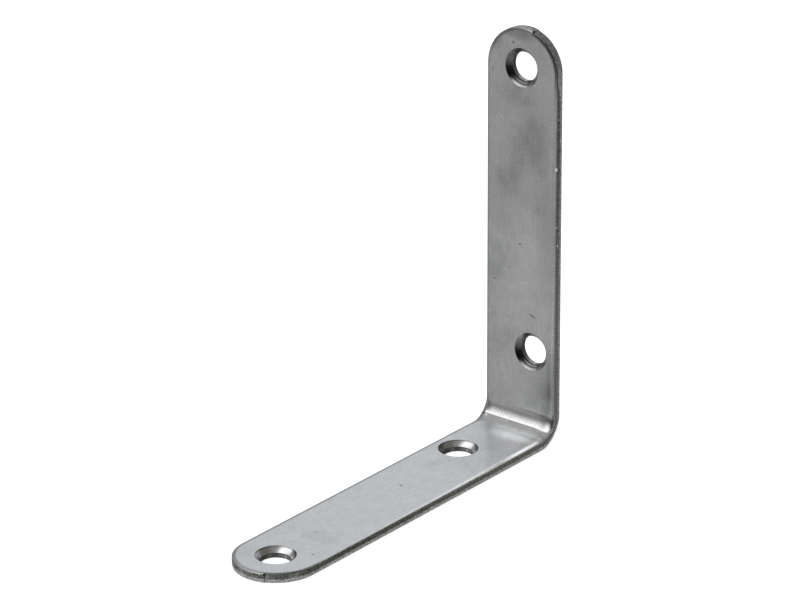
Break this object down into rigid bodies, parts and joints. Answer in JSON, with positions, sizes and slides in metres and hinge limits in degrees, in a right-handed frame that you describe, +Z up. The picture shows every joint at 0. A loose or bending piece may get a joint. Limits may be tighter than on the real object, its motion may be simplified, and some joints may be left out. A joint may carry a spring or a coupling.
{
  "type": "corner brace",
  "caption": "Flat steel strip bent to a right angle, with rounded ends and countersunk screw holes on the inner faces, for stiffening a corner joint.",
  "frame": {"origin": "middle of the bounding box on the base plane, halfway along the lower leg, in the middle of the strip's width", "axes": "+Z up along the upright, +X along the lower leg from the bend to its rounded end, Y across the strip"},
  "size_m": [0.1, 0.02, 0.1],
  "materials": {
    "zinc_plated_steel": "bright zinc plating on rolled steel strip, semi-gloss, with sheared edges"
  },
  "bodies": {
    "root": {"corner_brace": "zinc_plated_steel"}
  },
  "joints": []
}
